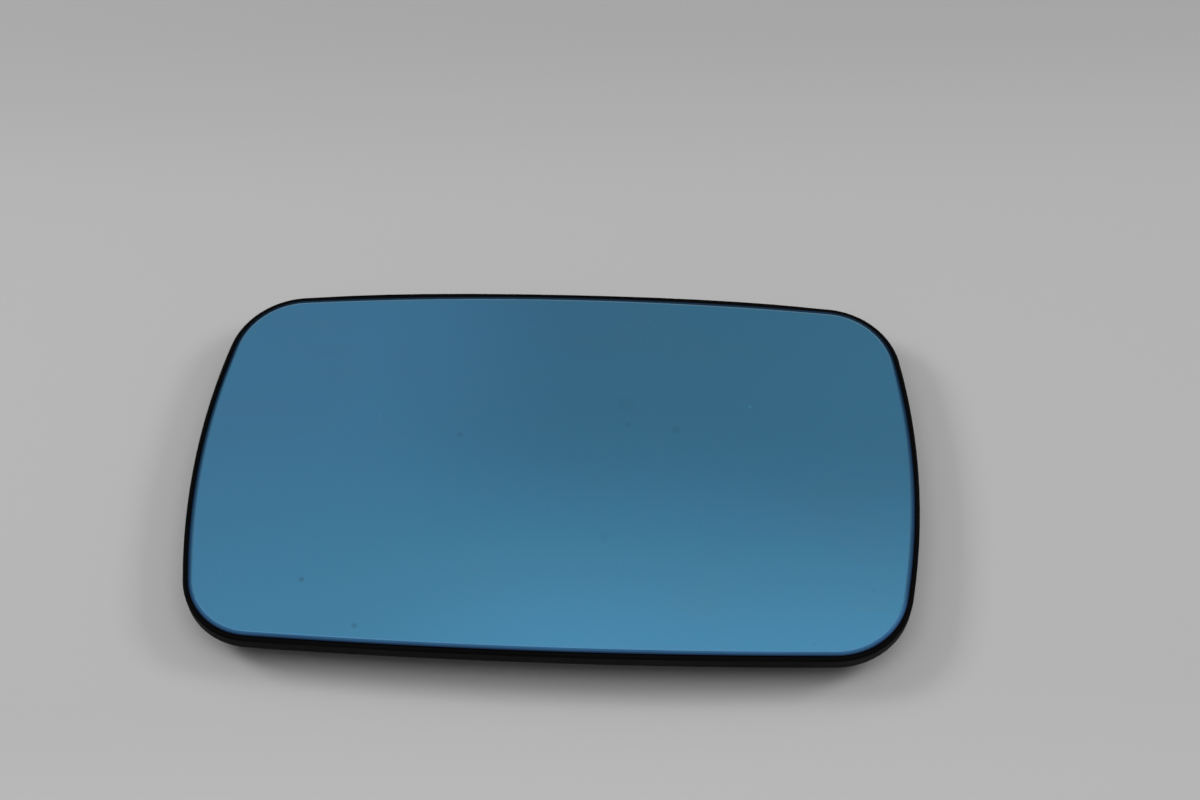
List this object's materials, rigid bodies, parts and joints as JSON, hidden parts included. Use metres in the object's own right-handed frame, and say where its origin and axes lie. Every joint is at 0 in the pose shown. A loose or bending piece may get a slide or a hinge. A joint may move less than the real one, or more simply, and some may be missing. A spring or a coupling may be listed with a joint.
{
  "type": "car door mirror glass",
  "caption": "Convex blue-tinted car door mirror glass bonded in a black moulded backing plate, with a snap collar and heater tabs on its back.",
  "frame": {"origin": "on the snap collar's axis, at the mouth that the part stands on, under the middle of its width and height", "axes": "+Z out of the mirror face, +X towards the car along the glass's width, +Y up the car"},
  "size_m": [0.171, 0.0982, 0.015],
  "materials": {
    "mirror_glass": "polished, blue-tinted, with a ground edge",
    "heater_film": "satin plastic film",
    "backing_plate": "fine moulded grain",
    "terminals": "tinned",
    "rivets": "bright"
  },
  "bodies": {
    "root": {"mirror_glass": "mirror_glass", "heater_film": "heater_film", "backing_plate": "backing_plate", "heater_terminal_upper": "terminals", "heater_terminal_lower": "terminals", "terminal_rivets": "rivets"}
  },
  "joints": []
}
